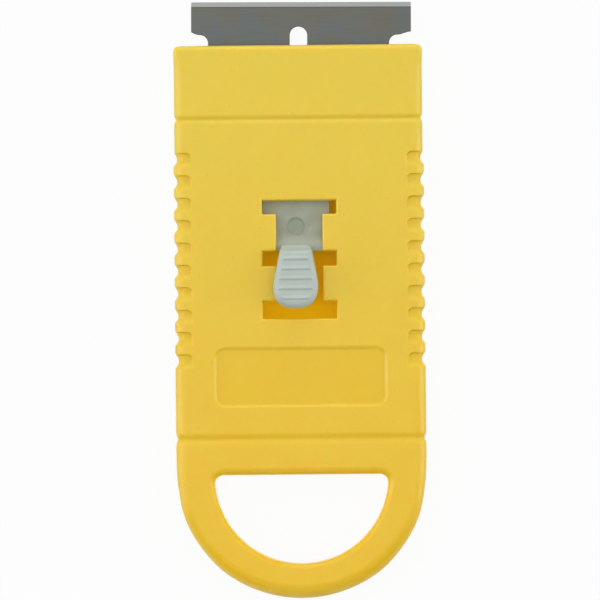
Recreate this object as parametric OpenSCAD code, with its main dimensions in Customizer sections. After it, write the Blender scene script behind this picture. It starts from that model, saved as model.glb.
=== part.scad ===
// A pocket scraper for a single edge razor blade.
// Two flat shells form a body with a finger loop. A carrier slides in the body with the blade,
// and a thumb tab on a springy tongue moves it and holds it in one of three cross slots.
// The scraper lies on its rear face. The blade points along plus Y and the tab faces plus Z.
// Depths marked as from the mouth are measured along the body from its blade end.

/* [Body] */
// Length of the body from the mouth to the end of the finger loop
body_l = 95.7; // [94.5:0.1:105]
// Thickness of the body
body_t = 7; // [7:0.1:9]
// Radius of the long outer edges and of the mouth's edges
edge_r = 1.2; // [0.8:0.1:1.5]
// Radius of the two corners at the mouth, seen from the front
mouth_corner_r = 1.2; // [0.6:0.1:1.5]
// Thickness of the wall over the blade carrier
front_wall = 1.6; // [1.3:0.1:1.8]
// Thickness of the wall under the blade carrier
rear_wall = 1.6; // [1:0.1:1.7]
// Thickness of the walls beside the blade carrier
side_wall = 1.6; // [1.2:0.1:2]
// Depth of the blade cavity from the mouth
cavity_l = 55; // [52.5:0.5:58]
// Height of the seam between the two shells
seam_z = 3.5; // [3.2:0.1:3.8]

/* [Finger loop] */
// Width of the loop beside its opening
loop_side = 6.6; // [5:0.1:8]
// Width of the loop at its far end
loop_end = 5.95; // [4.5:0.05:8]
// Height of the opening's straight side above the middle of its round side
loop_rise = 0.5; // [0:0.1:2]
// Radius of the opening's two corners
loop_corner_r = 1.5; // [1.2:0.1:3]

/* [Grooves] */
// Width of the two grooves round the body
groove_w = 0.85; // [0.5:0.05:1.5]
// Depth of the two grooves
groove_depth = 0.45; // [0.2:0.05:0.8]
// Depth of the first groove from the mouth
groove_front_d = 12.6; // [8:0.1:16]
// Depth of the second groove from the mouth
groove_rear_d = 68; // [65:0.1:70]

/* [Grips] */
// Number of grip notches on each side
grip_count = 10; // [6:1:12]
// Depth of the first notch's middle from the mouth
grip_first_d = 19.7; // [17:0.1:22]
// Distance from one notch to the next
grip_pitch = 3.87; // [3.7:0.01:4]
// Length of a notch along the body
grip_l = 2.2; // [1.8:0.1:2.4]
// Depth of a notch into the side
grip_side_depth = 0.65; // [0.6:0.05:0.9]
// Depth of a notch into the front and rear faces
grip_face_depth = 0.45; // [0.2:0.05:0.8]
// Reach of a notch across the front and rear faces
grip_reach = 2.8; // [1.8:0.1:4]
// Radius of the lobes between the notches
grip_lobe_r = 0.6; // [0.3:0.05:0.6]

/* [Label recess] */
// Width of the shallow recess on the front
label_w = 29.5; // [15:0.5:36]
// Height of the recess
label_h = 10.4; // [5:0.1:11]
// Corner radius of the recess
label_r = 1.8; // [0.5:0.1:2.4]
// Depth of the recess into the face
label_depth = 0.35; // [0.1:0.05:0.8]
// Depth of the recess's upper edge from the mouth
label_d = 52.2; // [50:0.1:54]

/* [Window] */
// Width of the long slot that the tab travels in
stem_w = 8; // [7:0.1:9]
// Width of the three cross slots
cross_w = 12.8; // [12.4:0.1:15]
// Depth of the window's upper edge from the mouth
window_d = 26.8; // [25:0.1:28]
// Length of the upper cross slot along the body
upper_slot_l = 2.35; // [2:0.05:3]
// Depth of the middle cross slot from the mouth
middle_slot_d = 35.5; // [34:0.1:37]
// Length of the middle cross slot along the body
middle_slot_l = 2.6; // [2:0.05:3.2]
// Depth of the lower cross slot from the mouth
lower_slot_d = 44.4; // [44.2:0.1:46]
// Length of the lower cross slot along the body
lower_slot_l = 2.9; // [2.9:0.05:3.5]

/* [Blade] */
// Width of the blade along its edge
blade_w = 38.1; // [36:0.1:38.5]
// Height of the blade from its edge to its back
blade_h = 19; // [18:0.1:20]
// Thickness of the blade
blade_t = 0.25; // [0.2:0.01:0.4]
// Length of blade that stands out of the mouth
blade_out = 7.4; // [6.8:0.1:8]
// Offset of the blade to the right of the body's middle
blade_x = 0.61; // [-0.6:0.01:0.62]
// Height of the ground bevel at the edge
bevel_h = 0.85; // [0.5:0.05:1.5]
// Thickness left at the very edge
edge_t = 0.03; // [0.02:0.01:0.1]
// Width of the left ear beyond the notch
left_ear_w = 3.05; // [2:0.05:4]
// Width of the right ear beyond the notch
right_ear_w = 3.95; // [2:0.05:4.5]
// Height of the ears at the blade's ends
ear_h = 5.05; // [4.5:0.05:5.5]
// Height of the ears next to the notch
ear_root_h = 5.6; // [5.5:0.05:6.2]
// Radius of the notch's inner corner
notch_r = 1.25; // [0.6:0.05:1.4]
// Width of the blade's middle slot
blade_slot_w = 3; // [2:0.1:4]
// Depth of the middle slot's round end from the edge
blade_slot_d = 4.1; // [3.5:0.1:6]

/* [Blade spine] */
// Height of the folded steel spine
spine_h = 4.8; // [4:0.1:5]
// Thickness of the spine
spine_t = 1.1; // [0.9:0.05:1.2]
// Thickness of the spine's fold behind the blade
spine_fold = 0.45; // [0.3:0.05:0.5]
// Distance that the spine's ends stay inside the blade's narrow part
spine_inset = 0.3; // [0:0.05:1]

/* [Blade carrier] */
// Offset of the carrier and its tab to the right of the body's middle
slider_x = -0.6; // [-0.6:0.05:0.6]
// Length of the carrier from its nose to the ends of its legs
carrier_l = 35; // [30:0.5:36]
// Thickness of the carrier's plate
carrier_t = 1.65; // [1.2:0.05:1.7]
// Length of the carrier's nose ahead of the spine
nose_l = 1.8; // [1:0.1:2.4]
// Width of each leg
leg_w = 5.2; // [3:0.1:8]
// Length of the shoulder behind the spine
shoulder_l = 1.5; // [1:0.1:2.5]
// Height of the shoulder over the plate
shoulder_h = 0.6; // [0.3:0.05:0.7]
// Distance from the blade's back to the tongue's hinge line
root_gap = 6.4; // [6:0.1:7]

/* [Spring tongue] */
// Width of the tongue
tongue_w = 11.85; // [10:0.05:12]
// Thickness of the tongue
tongue_t = 1.2; // [1:0.05:1.25]
// Length of the tongue from its hinge line to its end
tongue_l = 17.65; // [17:0.05:17.8]
// Radius of the tongue's root
root_r = 0.75; // [0.75:0.05:0.9]
// Height of the locking bar over the tongue
bar_h = 0.9; // [0.6:0.05:1]
// Length of the locking bar along the body
bar_l = 2.45; // [2:0.05:3]
// Length of the flat top of the locking bar
bar_top_l = 1.3; // [1.25:0.05:1.6]
// Diameter of the round recess in the tongue
dimple_dia = 2.9; // [2:0.1:4]
// Depth of the round recess
dimple_depth = 0.3; // [0.1:0.05:0.6]
// Distance from the round recess to the tongue's end
dimple_back = 4.3; // [4:0.1:6]

/* [Thumb tab] */
// Width of the tab at its neck
neck_w = 5.15; // [4:0.05:5.5]
// Length of the neck along the body
neck_l = 1.2; // [1:0.05:1.25]
// Widest part of the tab
tab_w = 7.55; // [6:0.05:9]
// Reach of the tab beyond the tongue's end
tab_reach = 9.85; // [9.6:0.05:11]
// Thickness of the tab
tab_t = 1.3; // [1:0.05:2]
// Height of the tab's underside over the front face
tab_lift = 1.45; // [1.4:0.05:2.5]
// Number of ribs across the tab
rib_count = 5; // [3:1:5]
// Distance from one rib to the next
rib_pitch = 1.74; // [1.5:0.01:1.75]
// Distance from the tongue's end to the first rib
rib_first = 0.95; // [0.9:0.05:1.4]
// Radius of a rib
rib_r = 0.3; // [0.2:0.02:0.4]
// Width of the plain rim beside the ribs
rib_margin = 0.7; // [0.4:0.05:1]

/* [Inside fits] */
// Play of the blade beside each of its ends in the body
blade_play = 0.95; // [0.65:0.05:1.5]
// Play of the carrier beside each of its sides in the body
carrier_play = 0.8; // [0.7:0.05:1.5]
// Running gap between the carrier and the rear wall
carrier_gap = 0.15; // [0.1:0.05:0.3]
// Gap round the spine in its pocket
pocket_gap = 0.1; // [0.05:0.05:0.2]
// Gap between the spine and the guide ribs over it
guide_gap = 0.2; // [0.15:0.05:0.3]
// Gap over the spine when it is lifted out of its pocket
lift_gap = 0.1; // [0.05:0.05:0.3]
// Gap between the locking bar and the front wall
bar_gap = 0.1; // [0.05:0.05:0.2]
// Gap round the tongue's root in its seat
root_fit = 0.05; // [0.03:0.01:0.08]
// Gap between the blade and the inside of its spine
spine_fit = 0.02; // [0.01:0.01:0.04]
// Gap round a post in its socket
post_gap = 0.05; // [0.05:0.05:0.2]

/* [Inside details] */
// Length of the lip over the blade at the mouth
lip_l = 2.5; // [1.5:0.1:4]
// Depth of the guide ribs' front ends from the mouth
guide_front_d = 5.6; // [5.5:0.1:6]
// Depth of the guide ribs' rear ends from the mouth
guide_rear_d = 24; // [23:0.1:25]
// Width of a guide rib
guide_w = 1; // [0.8:0.1:1.5]
// Distance of the inner guide ribs from the middle
guide_inner_x = 9; // [8.6:0.1:10]
// Distance of the outer guide ribs from the middle
guide_outer_x = 14.6; // [13:0.1:14.6]
// Length of the block that holds the tongue's root
block_l = 2.6; // [2:0.1:3]
// Width of the block beyond each side of the tongue
block_side = 0.6; // [0.3:0.1:0.7]
// Thickness of the block's lips over and under the root
block_lip = 0.45; // [0.3:0.05:0.5]
// Distance that the block's lips reach past the hinge line
block_wrap = 0.35; // [0.2:0.05:0.4]
// Radius of the posts that join the shells
post_r = 1.5; // [1:0.1:2]
// Length of the posts
post_l = 1.7; // [1:0.1:2]
// Depth of the handle's two posts from the mouth
post_d = 59; // [58:0.5:63]
// Distance of the handle's two posts from the body's sides
post_side = 4.6; // [4:0.1:12]

/* [Hidden] */
$fn = 64;

// Overrun of cuts past the faces that they open
over = 0.5;
// Directions of the two loop posts from the loop's middle
loop_post_angles = [225, 315];
// Lean of the neck's front face up to the front face's level
neck_lean = 0.15;
// Distance behind the tongue's end where the tab's top becomes level
tab_top_back = 0.15;
// Distance behind the tongue's end where the tab's underside becomes level
tab_under_back = 0.65;
// Height over the front face where the neck's rear face starts to lean
neck_rise = 0.85;

cavity_w = blade_w + 2 * blade_play;
body_w = cavity_w + 2 * side_wall;
carrier_w = cavity_w - 2 * carrier_play;
mouth_y = (body_l - blade_out) / 2;
edge_y = mouth_y + blade_out;
loop_y = mouth_y - body_l + body_w / 2;
ceiling_z = body_t - front_wall;

hole_r = body_w / 2 - loop_side;
hole_y = mouth_y - body_l + loop_end + hole_r;
hole_top_y = hole_y + loop_rise;
hole_corner_y = hole_top_y - loop_corner_r;
hole_corner_x = sqrt(pow(hole_r - loop_corner_r, 2) - pow(hole_corner_y - hole_y, 2));
hole_corner_angle = atan2(hole_corner_y - hole_y, hole_corner_x);

plate_z = rear_wall + carrier_gap;
plate_top_z = plate_z + carrier_t;
blade_z = plate_top_z + blade_t / 2;
spine_low_z = blade_z - spine_t / 2;
spine_top_z = blade_z + spine_t / 2;
guide_z = spine_top_z + guide_gap;
lip_z = spine_top_z + (plate_top_z - spine_low_z) + lift_gap;

blade_left_x = blade_x - blade_w / 2;
blade_right_x = blade_x + blade_w / 2;
narrow_left_x = blade_left_x + left_ear_w;
narrow_right_x = blade_right_x - right_ear_w;
narrow_x = (narrow_left_x + narrow_right_x) / 2;
spine_w = narrow_right_x - narrow_left_x - 2 * spine_inset;
back_y = edge_y - blade_h;
spine_front_y = back_y + spine_h;
spine_back_y = back_y - spine_fold - spine_fit;

nose_y = spine_front_y + nose_l;
root_y = back_y - root_gap;
root_z = ceiling_z - bar_gap - bar_h - tongue_t / 2;
tongue_z = root_z - tongue_t / 2;
tongue_top_z = root_z + tongue_t / 2;
bar_top_z = tongue_top_z + bar_h;
tongue_end_y = root_y - tongue_l;
plate_rear_y = root_y - block_wrap;
seat_r = root_r + root_fit;
block_w = tongue_w + 2 * block_side;

tab_end_y = tongue_end_y - tab_reach;
tab_under_z = body_t + tab_lift;
tab_top_z = tab_under_z + tab_t;

function at(depth) = mouth_y - depth;

// A rectangle about the origin with exact round corners
module round_rect(w, h, r) {
  square([w - 2 * r, h], center = true);
  square([w, h - 2 * r], center = true);
  for (side_x = [-1, 1])
    for (side_y = [-1, 1])
      translate([side_x * (w / 2 - r), side_y * (h / 2 - r)])
        circle(r);
}

// What is left of a square corner outside a quarter circle about the origin
module corner_waste(r) {
  difference() {
    square(r + over);
    circle(r);
  }
}

// A flat shape drawn in Y and Z, stretched along X from one place to another
module along_x(from_x, to_x) {
  translate([from_x, 0, 0])
    rotate([90, 0, 90])
      linear_extrude(to_x - from_x)
        children();
}

// A flat shape drawn in X and Z, stretched along Y from one place to another
module along_y(from_y, to_y) {
  translate([0, to_y, 0])
    rotate([90, 0, 0])
      linear_extrude(to_y - from_y)
        children();
}

// A box from one corner to the opposite one
module block(low, high) {
  translate(low)
    cube(high - low);
}

// The body's cross section, drawn in by the given amounts
module body_section(inset_x, inset_z) {
  translate([0, body_t / 2])
    round_rect(body_w - 2 * inset_x, body_t - 2 * inset_z, edge_r);
}

// The opening of the finger loop, with arcs that meet smoothly
module loop_outline() {
  far = 2 * hole_r;
  intersection() {
    translate([0, hole_y])
      circle(hole_r);
    polygon([
      [0, hole_y],
      [far * cos(hole_corner_angle), hole_y + far * sin(hole_corner_angle)],
      [far, hole_y - far],
      [-far, hole_y - far],
      [-far * cos(hole_corner_angle), hole_y + far * sin(hole_corner_angle)]
    ]);
  }
  polygon([
    [-hole_corner_x, hole_corner_y],
    [-hole_corner_x, hole_top_y],
    [hole_corner_x, hole_top_y],
    [hole_corner_x, hole_corner_y],
    [0, hole_y - loop_corner_r]
  ]);
  for (side = [-1, 1])
    translate([side * hole_corner_x, hole_corner_y])
      circle(loop_corner_r);
}

// Puts what it is given on the front face and, turned over, on the rear face
module both_faces() {
  children();
  translate([0, 0, body_t])
    mirror([0, 0, 1])
      children();
}

// The skin of the body between two places, down to the given depths
module skin_band(from_y, to_y, depth_x, depth_z) {
  along_y(from_y, to_y)
    difference() {
      translate([-body_w / 2 - over, -over])
        square([body_w + 2 * over, body_t + 2 * over]);
      body_section(depth_x, depth_z);
    }
}

// The outline of one grip notch on the right side, seen from the front
module grip_outline() {
  side_x = body_w / 2;
  translate([side_x - grip_reach + grip_l / 2, 0])
    circle(grip_l / 2);
  translate([side_x - grip_reach + grip_l / 2, -grip_l / 2])
    square([grip_reach + over, grip_l]);
  difference() {
    translate([side_x - grip_lobe_r, -grip_l / 2 - grip_lobe_r])
      square([grip_lobe_r + over, grip_l + 2 * grip_lobe_r]);
    for (side_y = [-1, 1])
      translate([side_x - grip_lobe_r, side_y * (grip_l / 2 + grip_lobe_r)])
        circle(grip_lobe_r);
  }
}

// The grip notches on both sides of the body
module grip_waste() {
  zone = grip_pitch * grip_count;
  intersection() {
    skin_band(at(grip_first_d + zone), at(grip_first_d) + grip_pitch, grip_side_depth, grip_face_depth);
    for (side = [0, 1])
      for (i = [0 : grip_count - 1])
        mirror([side, 0, 0])
          translate([0, at(grip_first_d + i * grip_pitch), -over])
            linear_extrude(body_t + 2 * over)
              grip_outline();
  }
}

// The outside of the body, before the cavity and the window
module body_blank() {
  difference() {
    union() {
      along_y(loop_y, mouth_y)
        body_section(0, 0);
      translate([0, loop_y, 0])
        rotate([0, 0, 180])
          rotate_extrude(angle = 180)
            intersection() {
              body_section(0, 0);
              square([body_w, body_t]);
            }
    }
    both_faces()
      along_x(-body_w, body_w)
        translate([mouth_y - edge_r, body_t - edge_r])
          corner_waste(edge_r);
    for (side = [0, 1])
      mirror([side, 0, 0])
        translate([body_w / 2 - mouth_corner_r, mouth_y - mouth_corner_r, -over])
          linear_extrude(body_t + 2 * over)
            corner_waste(mouth_corner_r);
    for (depth = [groove_front_d, groove_rear_d])
      skin_band(at(depth) - groove_w / 2, at(depth) + groove_w / 2, groove_depth, groove_depth);
    grip_waste();
    translate([0, 0, -over])
      linear_extrude(body_t + 2 * over)
        loop_outline();
  }
}

// The places of the posts that join the shells
module at_posts() {
  for (side = [-1, 1])
    translate([side * (body_w / 2 - post_side), at(post_d), 0])
      children();
  for (angle = loop_post_angles)
    translate([0, loop_y, 0])
      rotate([0, 0, angle])
        translate([body_w / 2 - loop_side / 2, 0, 0])
          children();
}

// The hollow of the front shell, with its lip and its guide ribs left standing
module front_hollow() {
  half = cavity_w / 2;
  difference() {
    block([-half, at(cavity_l), rear_wall], [half, at(lip_l), ceiling_z]);
    for (place = [-guide_outer_x, -guide_inner_x, guide_inner_x, guide_outer_x])
      block([place - guide_w / 2, at(guide_rear_d), guide_z],
            [place + guide_w / 2, at(guide_front_d), body_t]);
  }
  block([-half, at(lip_l) - over, rear_wall], [half, mouth_y + over, lip_z]);
}

// One cross slot of the window, from its depth and its length along the body
module cross_slot(depth, length) {
  translate([-cross_w / 2, at(depth + length)])
    square([cross_w, length]);
}

// The window that the tab travels in
module window_outline() {
  translate([-stem_w / 2, at(lower_slot_d + lower_slot_l)])
    square([stem_w, lower_slot_d + lower_slot_l - window_d]);
  cross_slot(window_d, upper_slot_l);
  cross_slot(middle_slot_d, middle_slot_l);
  cross_slot(lower_slot_d, lower_slot_l);
}

module front_shell() {
  color([0.91, 0.77, 0.3])
    difference() {
      union() {
        intersection() {
          body_blank();
          block([-body_w, -body_l, seam_z], [body_w, body_l, body_t + over]);
        }
        at_posts()
          translate([0, 0, seam_z - post_l])
            cylinder(h = post_l + over, r = post_r);
      }
      front_hollow();
      translate([0, 0, ceiling_z - over])
        linear_extrude(front_wall + 2 * over)
          window_outline();
      translate([0, at(label_d + label_h / 2), body_t - label_depth])
        linear_extrude(label_depth + over)
          round_rect(label_w, label_h, label_r);
    }
}

module rear_shell() {
  half = cavity_w / 2;
  color([0.88, 0.72, 0.26])
    difference() {
      intersection() {
        body_blank();
        block([-body_w, -body_l, -over], [body_w, body_l, seam_z]);
      }
      block([-half, at(cavity_l), rear_wall], [half, mouth_y + over, body_t]);
      at_posts()
        translate([0, 0, seam_z - post_l - post_gap])
          cylinder(h = post_l + post_gap + over, r = post_r + post_gap);
    }
}

// The plate of the carrier with its two legs, before the pocket is cut
module carrier_plate() {
  half = carrier_w / 2;
  block([slider_x - half, plate_rear_y, plate_z], [slider_x + half, nose_y, plate_top_z]);
  for (side = [0, 1])
    translate([slider_x, 0, 0])
      mirror([side, 0, 0])
        block([half - leg_w, nose_y - carrier_l, plate_z], [half, plate_rear_y + over, plate_top_z]);
}

// The room for the tongue's root between the lips and cheeks of its block
module root_seat() {
  half = tongue_w / 2 + root_fit;
  along_x(slider_x - half, slider_x + half) {
    translate([root_y, root_z])
      circle(seat_r);
    translate([tongue_end_y, tongue_z - root_fit])
      square([tongue_l, tongue_t + 2 * root_fit]);
  }
}

module blade_carrier() {
  pocket_low = [narrow_x - spine_w / 2 - pocket_gap, spine_back_y - pocket_gap, spine_low_z];
  pocket_high = [narrow_x + spine_w / 2 + pocket_gap, spine_front_y + pocket_gap, body_t];
  color([0.62, 0.66, 0.62])
    difference() {
      union() {
        carrier_plate();
        block([narrow_left_x, spine_back_y - pocket_gap - shoulder_l, plate_z],
              [narrow_right_x, spine_back_y, plate_top_z + shoulder_h]);
        block([slider_x - block_w / 2, root_y - block_wrap, plate_z],
              [slider_x + block_w / 2, root_y + block_l, root_z + seat_r + block_lip]);
      }
      block(pocket_low, pocket_high);
      root_seat();
    }
}

module spring_tongue() {
  color([0.64, 0.68, 0.64])
    difference() {
      union() {
        block([slider_x - tongue_w / 2, tongue_end_y, tongue_z],
              [slider_x + tongue_w / 2, root_y, tongue_top_z]);
        along_x(slider_x - tongue_w / 2, slider_x + tongue_w / 2) {
          translate([root_y, root_z])
            circle(root_r);
          polygon([
            [tongue_end_y, tongue_z],
            [tongue_end_y, bar_top_z],
            [tongue_end_y + bar_top_l, bar_top_z],
            [tongue_end_y + bar_l, tongue_top_z],
            [tongue_end_y + bar_l, tongue_z]
          ]);
        }
      }
      translate([slider_x, tongue_end_y + dimple_back, tongue_top_z - dimple_depth])
        cylinder(h = dimple_depth + over, r = dimple_dia / 2);
    }
}

// The outline of the tab from the front, drawn in by a margin, with its middle line on X zero
module tab_outline(margin) {
  half = neck_w / 2 - margin;
  r = tab_w / 2 - margin;
  top_y = tongue_end_y + neck_l;
  round_y = tab_end_y + tab_w / 2;
  drop = top_y - round_y;
  turn = asin(r / norm([half, drop])) - atan2(half, drop);
  polygon([
    [-half, top_y],
    [half, top_y],
    [r * cos(turn), round_y + r * sin(turn)],
    [-r * cos(turn), round_y + r * sin(turn)]
  ]);
  translate([0, round_y])
    circle(r);
}

// The side view of the tab, from its neck on the locking bar to its free end
module tab_profile() {
  polygon([
    [tongue_end_y + neck_l, bar_top_z],
    [tongue_end_y + neck_l - neck_lean, body_t],
    [tongue_end_y - tab_top_back, tab_top_z],
    [tab_end_y - over, tab_top_z],
    [tab_end_y - over, tab_under_z],
    [tongue_end_y - tab_under_back, tab_under_z],
    [tongue_end_y, body_t + neck_rise],
    [tongue_end_y, bar_top_z]
  ]);
}

module thumb_tab() {
  color([0.78, 0.81, 0.78])
    translate([slider_x, 0, 0]) {
      intersection() {
        along_x(-tab_w, tab_w)
          tab_profile();
        translate([0, 0, bar_top_z - over])
          linear_extrude(tab_top_z)
            tab_outline(0);
      }
      intersection() {
        for (i = [0 : rib_count - 1])
          along_x(-tab_w, tab_w)
            translate([tongue_end_y - rib_first - i * rib_pitch, tab_top_z])
              circle(rib_r);
        translate([0, 0, tab_under_z])
          linear_extrude(tab_t + 2 * rib_r)
            tab_outline(rib_margin);
      }
    }
}

// The notch at one end of the blade. Side is 1 for the right end and -1 for the left end.
module blade_notch(side, inner_x, outer_x) {
  low_y = back_y - over;
  round_y = edge_y - ear_root_h - notch_r;
  translate([inner_x, 0])
    mirror([side < 0 ? 1 : 0, 0]) {
      reach = abs(outer_x - inner_x);
      translate([notch_r, round_y])
        circle(notch_r);
      translate([0, low_y])
        square([reach + over, round_y - low_y]);
      polygon([
        [notch_r, round_y - notch_r],
        [notch_r, edge_y - ear_root_h],
        [reach, edge_y - ear_h],
        [reach + over, edge_y - ear_h],
        [reach + over, round_y - notch_r]
      ]);
    }
}

// The outline of the blade, seen from the front
module blade_outline() {
  slot_end_y = spine_front_y - spine_h / 2;
  slot_round_y = edge_y - blade_slot_d - blade_slot_w / 2;
  difference() {
    translate([blade_left_x, back_y])
      square([blade_w, blade_h]);
    blade_notch(-1, narrow_left_x, blade_left_x);
    blade_notch(1, narrow_right_x, blade_right_x);
    translate([narrow_x, slot_round_y])
      circle(blade_slot_w / 2);
    translate([narrow_x - blade_slot_w / 2, slot_end_y])
      square([blade_slot_w, slot_round_y - slot_end_y]);
  }
}

module blade() {
  color([0.44, 0.46, 0.44])
    intersection() {
      translate([0, 0, blade_z - blade_t])
        linear_extrude(2 * blade_t)
          blade_outline();
      along_x(blade_left_x - over, blade_right_x + over)
        polygon([
          [back_y - over, blade_z - blade_t / 2],
          [edge_y - bevel_h, blade_z - blade_t / 2],
          [edge_y, blade_z - edge_t / 2],
          [edge_y, blade_z + edge_t / 2],
          [edge_y - bevel_h, blade_z + blade_t / 2],
          [back_y - over, blade_z + blade_t / 2]
        ]);
    }
}

module blade_spine() {
  fold_y = spine_back_y + spine_t / 2;
  color([0.55, 0.57, 0.58])
    along_x(narrow_x - spine_w / 2, narrow_x + spine_w / 2)
      difference() {
        union() {
          translate([fold_y, blade_z])
            circle(spine_t / 2);
          translate([fold_y, spine_low_z])
            square([spine_front_y - fold_y, spine_t]);
        }
        translate([back_y - spine_fit, blade_z - blade_t / 2 - spine_fit])
          square([spine_h + spine_fit + over, blade_t + 2 * spine_fit]);
      }
}

front_shell();
rear_shell();
blade_carrier();
spring_tongue();
thumb_tab();
blade();
blade_spine();
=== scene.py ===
import math

import bpy
import numpy as np
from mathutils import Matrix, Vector


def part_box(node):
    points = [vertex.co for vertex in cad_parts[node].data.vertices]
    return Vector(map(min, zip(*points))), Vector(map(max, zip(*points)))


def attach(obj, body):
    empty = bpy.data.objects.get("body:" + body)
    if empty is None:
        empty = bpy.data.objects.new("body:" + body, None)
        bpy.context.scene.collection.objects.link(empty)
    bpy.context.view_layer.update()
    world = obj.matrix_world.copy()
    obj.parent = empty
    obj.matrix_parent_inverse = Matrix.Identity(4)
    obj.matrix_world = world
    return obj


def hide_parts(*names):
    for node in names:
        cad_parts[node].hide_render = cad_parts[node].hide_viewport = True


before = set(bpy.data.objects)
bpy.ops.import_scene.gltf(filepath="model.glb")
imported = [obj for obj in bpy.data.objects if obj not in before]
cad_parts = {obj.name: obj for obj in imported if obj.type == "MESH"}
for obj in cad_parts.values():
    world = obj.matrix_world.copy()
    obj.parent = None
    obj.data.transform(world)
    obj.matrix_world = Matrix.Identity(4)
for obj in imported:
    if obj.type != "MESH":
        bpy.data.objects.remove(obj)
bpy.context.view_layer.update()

# Every size below is in millimetres, as in the part's source. Depths are measured from the mouth.
MM = 0.001


def corner(node, end, axis):
    """One coordinate of a CAD node's lowest (end 0) or highest (end 1) corner."""
    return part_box(node)[end][axis] / MM


# The body. Its skin stands a little outside the CAD's sides.
PROUD = 0.06
HALF_W = corner("front_shell", 1, 0) + PROUD
THICK = corner("front_shell", 1, 2)
MOUTH_Y = corner("front_shell", 1, 1)
END_Y = corner("front_shell", 0, 1)
SEAM_Z = corner("rear_shell", 1, 2)
LOOP_Y = END_Y + HALF_W
LOOP_SLIM = 0.2
LOOP_SLIM_AT = 2.7
LOOP_SLIM_W = 3.1
LOOP_FULL = 0.12
LOOP_FULL_AT = 4.6
LOOP_FULL_W = 2.4
MID_Z = THICK / 2
MOUTH_R = 0.95
SIDE_R = 1.75
LOOP_EDGE_R = 2.6
LOOP_EDGE_FROM = LOOP_Y - 2
LOOP_EDGE_TO = END_Y + 5
MOUTH_EDGE_R = 1.0
MOUTH_EDGE_FROM = MOUTH_Y - 4
MOUTH_EDGE_TO = MOUTH_Y - 1.5
FRONT_WALL = 1.6
REAR_WALL = 1.6
SIDE_WALL = 1.6
CAVITY_L = 55.0
CAVITY_HALF = HALF_W - PROUD - SIDE_WALL
CEILING_Z = THICK - FRONT_WALL
SEAM_R = 0.16
SEAM_GAP = 0.01
INNER_R = 0.12

# The finger loop
LOOP_SIDE_W = 6.6
LOOP_END_W = 5.95
HOLE_R = HALF_W - PROUD - LOOP_SIDE_W
HOLE_Y = END_Y + LOOP_END_W + HOLE_R
HOLE_RISE = 0.44
HOLE_CORNER_R = 1.5
RIM_FRONT_R = 1.4
RIM_END_R = 0.95
RIM_FROM = HOLE_Y - 6
RIM_TO = HOLE_Y + 2

# The grooves: depth from the mouth, how deep, how wide
GROOVES = ((12.77, 0.32, 0.42), (68.04, 0.31, 0.58))

# The grip notches. Each has a steep wall toward the mouth, and runs out into the next rib.
GRIP_COUNT = 10
GRIP_PITCH = 3.87
GRIP_FIRST = 18.56
GRIP_LEAD = 0.9
GRIP_REACH = 2.95
GRIP_CORNER = 0.85
GRIP_WALL_SOFT = 0.14
GRIP_SHELF = 0.15
GRIP_SHELF_L = 2.6
GRIP_STEP = 0.25
GRIP_FLOOR_L = 1.35
GRIP_STEP_L = 2.5
GRIP_SIDE = 0.6
GRIP_SIDE_FROM = -0.5
GRIP_SIDE_TO = 1.0
GRIP_SIDE_L = 2.45
GRIP_TINY = 1e-4
TOP_DRAW = 0.18
TOP_DRAW_FROM = -0.6
TOP_DRAW_TO = 0.4

# The label recess
LABEL_W = 29.5
LABEL_H = 9.95
LABEL_R = 1.8
LABEL_D = 52.4
LABEL_DEPTH = 0.34
LABEL_SOFT = 0.33

# The window: a stem, and cross slots that each give a depth from the mouth and a length
STEM_HALF = 4.0
CROSS_HALF = 6.4
SLOTS = ((26.97, 2.25), (35.74, 2.44), (44.4, 2.9))
TOOTH_R = 0.22
WINDOW_R = 0.34
WINDOW_DRAFT = 0.16

# The inside
LIP_L = 2.5
LIP_Z = 4.6
RIB_FRONT = 5.6
RIB_REAR = 24.0
RIB_HALF = 0.5
RIB_PLACES = (9.0, 14.6)
RIB_Z = 4.275
POST_R = 1.5
POST_L = 1.7
POST_GAP = 0.05
POST_D = 59.0
POST_SIDE = 4.6
POST_ANGLES = (225, 315)

# The tongue with its locking bar and its dimple
TONGUE_MID = (corner("spring_tongue", 0, 0) + corner("spring_tongue", 1, 0)) / 2
TONGUE_HALF = corner("spring_tongue", 1, 0) - TONGUE_MID
TONGUE_END = corner("spring_tongue", 0, 1)
BAR_TOP_Z = corner("spring_tongue", 1, 2)
ROOT_R = 0.75
ROOT_Y = corner("spring_tongue", 1, 1) - ROOT_R
ROOT_Z = corner("spring_tongue", 0, 2) + ROOT_R
TONGUE_T = 1.2
BAR_L = 2.45
BAR_TOP_L = 1.3
BAR_TAIL_L = 2
BAR_TOP_R = 0.5
BAR_TAIL_R = 0.1
BAR_FOOT_R = 0.35
TONGUE_UNDER_R = 0.12
TONGUE_END_R = 0.14
TONGUE_SIDE_R = 0.16
DIMPLE_R = 1.45
DIMPLE_DEPTH = 0.3
DIMPLE_BACK = 4.3
DIMPLE_WALL = (-0.22, 0.32)
DIMPLE_RING = 0.07
DIMPLE_RING_AT = 0.3
DIMPLE_RING_W = 0.24
# Where the dimple's painted shade fades in, by distance inside its edge
DIMPLE_SHADE_SPREAD = (-0.05, 0.3)

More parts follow.
